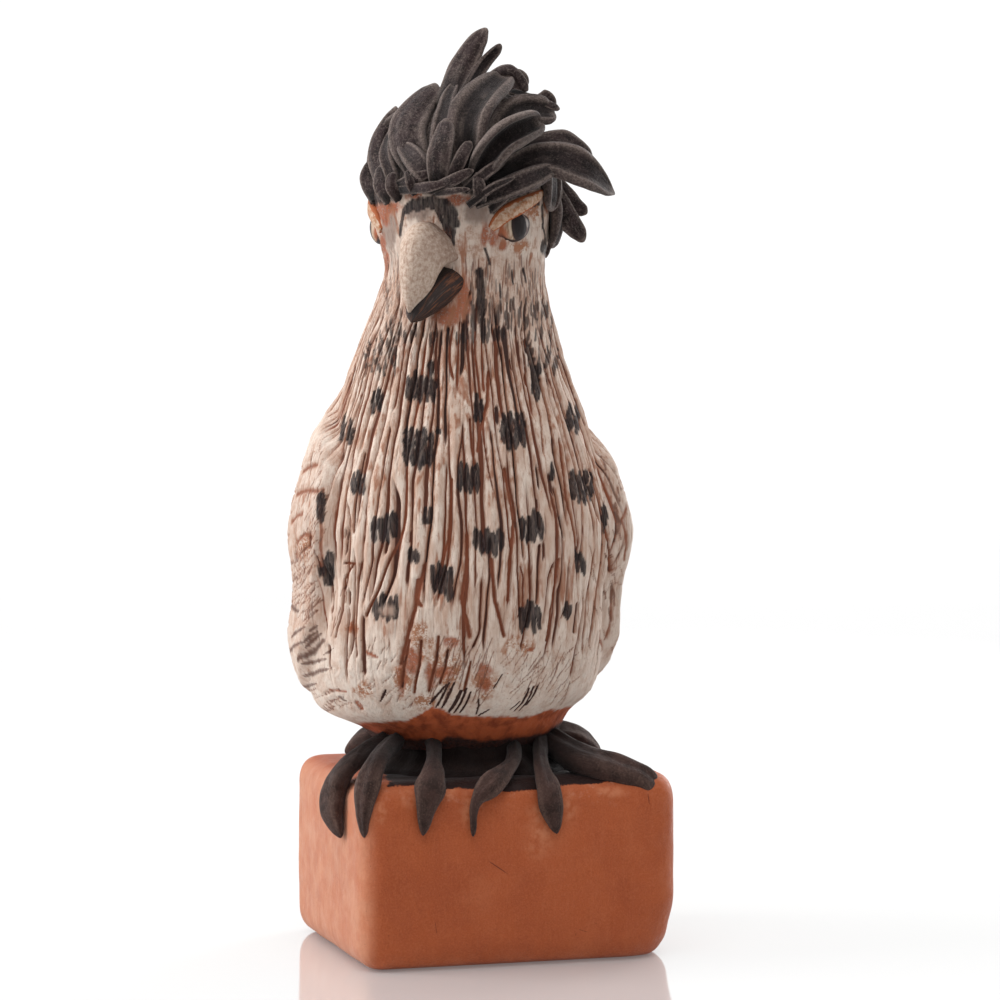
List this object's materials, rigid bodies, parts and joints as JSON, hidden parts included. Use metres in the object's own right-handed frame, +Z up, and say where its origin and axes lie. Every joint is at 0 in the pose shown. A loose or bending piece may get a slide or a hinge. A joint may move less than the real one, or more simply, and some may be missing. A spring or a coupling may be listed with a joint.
{
  "type": "ceramic bird figure on a block",
  "caption": "Hand-built clay bird with long carved strand feathers, dark spots and a swept black crest, perched with hooked toes on a rounded terracotta block.",
  "frame": {"origin": "middle of the block's flat underside, on the surface that the figure stands on", "axes": "+Z up the figure, -Y out of the block's long front side, +X to the right seen from the front"},
  "size_m": [0.1497, 0.1333, 0.3789],
  "materials": {
    "slipped_clay": "matt cream slip, carved through to the red clay, with black slip spots, crest and feet",
    "terracotta": "bare fired red clay, matt, with rubbed pale edges"
  },
  "bodies": {
    "root": {"bird": "slipped_clay", "block": "terracotta"}
  },
  "joints": []
}
